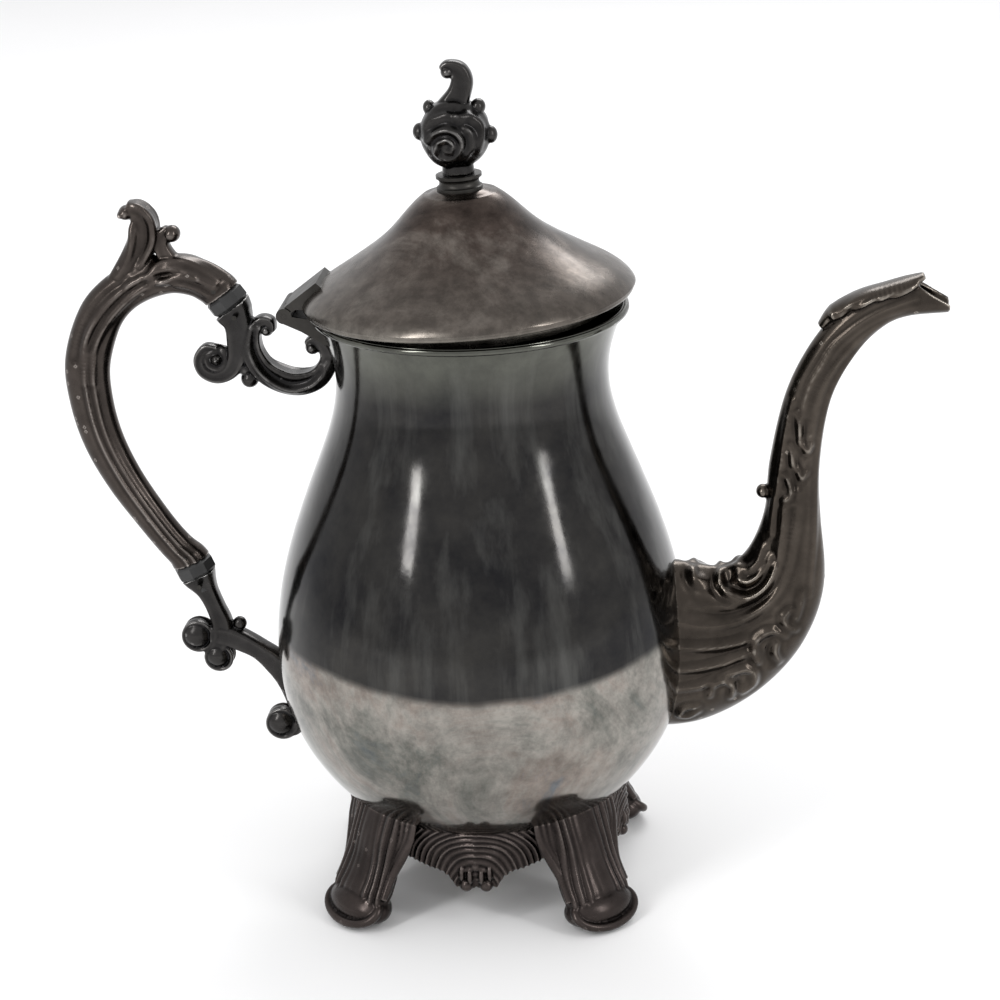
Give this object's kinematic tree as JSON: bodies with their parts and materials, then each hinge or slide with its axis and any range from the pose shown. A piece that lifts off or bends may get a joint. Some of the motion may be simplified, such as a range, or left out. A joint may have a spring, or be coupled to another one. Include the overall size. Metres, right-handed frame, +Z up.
{
  "type": "footed teapot",
  "caption": "Tall footed pot with hinged domed lid, curled finial, long curved spout and heat-broken scroll handle.",
  "frame": {"origin": "on the table, under the middle of the whole length from handle to spout tip, in the pot's middle plane", "axes": "+X towards the spout, -X towards the handle, +Z up, +Y to the far side in the picture"},
  "size_m": [0.2902, 0.1378, 0.2828],
  "materials": {
    "plated_body": "tarnished silver plate, polished",
    "plated_lid": "tarnished silver plate, brown mottled",
    "plated_spout": "tarnished plated casting",
    "plated_grip": "tarnished plated casting",
    "dark_casting": "blackened plated casting",
    "foot_casting": "dull brown tarnished casting",
    "black_break": "satin black",
    "plain_steel": "plain"
  },
  "bodies": {
    "pot": {"body_shell": "plated_body", "mouth_wire": "plated_body", "spout": "plated_spout", "upper_bracket": "dark_casting", "lower_bracket": "dark_casting", "handle_grip": "plated_grip", "foot_front_left": "foot_casting", "foot_front_right": "foot_casting", "foot_back_left": "foot_casting", "foot_back_right": "foot_casting", "apron_front": "foot_casting", "apron_right": "foot_casting", "apron_back": "foot_casting", "apron_left": "foot_casting", "upper_heat_break": "black_break", "lower_heat_break": "black_break", "handle_pins": "plain_steel", "hinge_body_leaf": "dark_casting", "hinge_pin": "plain_steel"},
    "lid": {"lid_shell": "plated_lid", "lid_bezel": "plated_lid", "hinge_lid_leaf": "dark_casting", "finial": "dark_casting", "finial_collar": "dark_casting", "finial_washer": "plain_steel", "finial_nut": "plain_steel"}
  },
  "joints": [
    {"name": "lid_hinge", "type": "hinge", "parent": "pot", "child": "lid", "pos_m": [-0.06895, 0, 0.2018], "axis": [0, -1, 0], "range_deg": [-2.6, 95]}
  ]
}
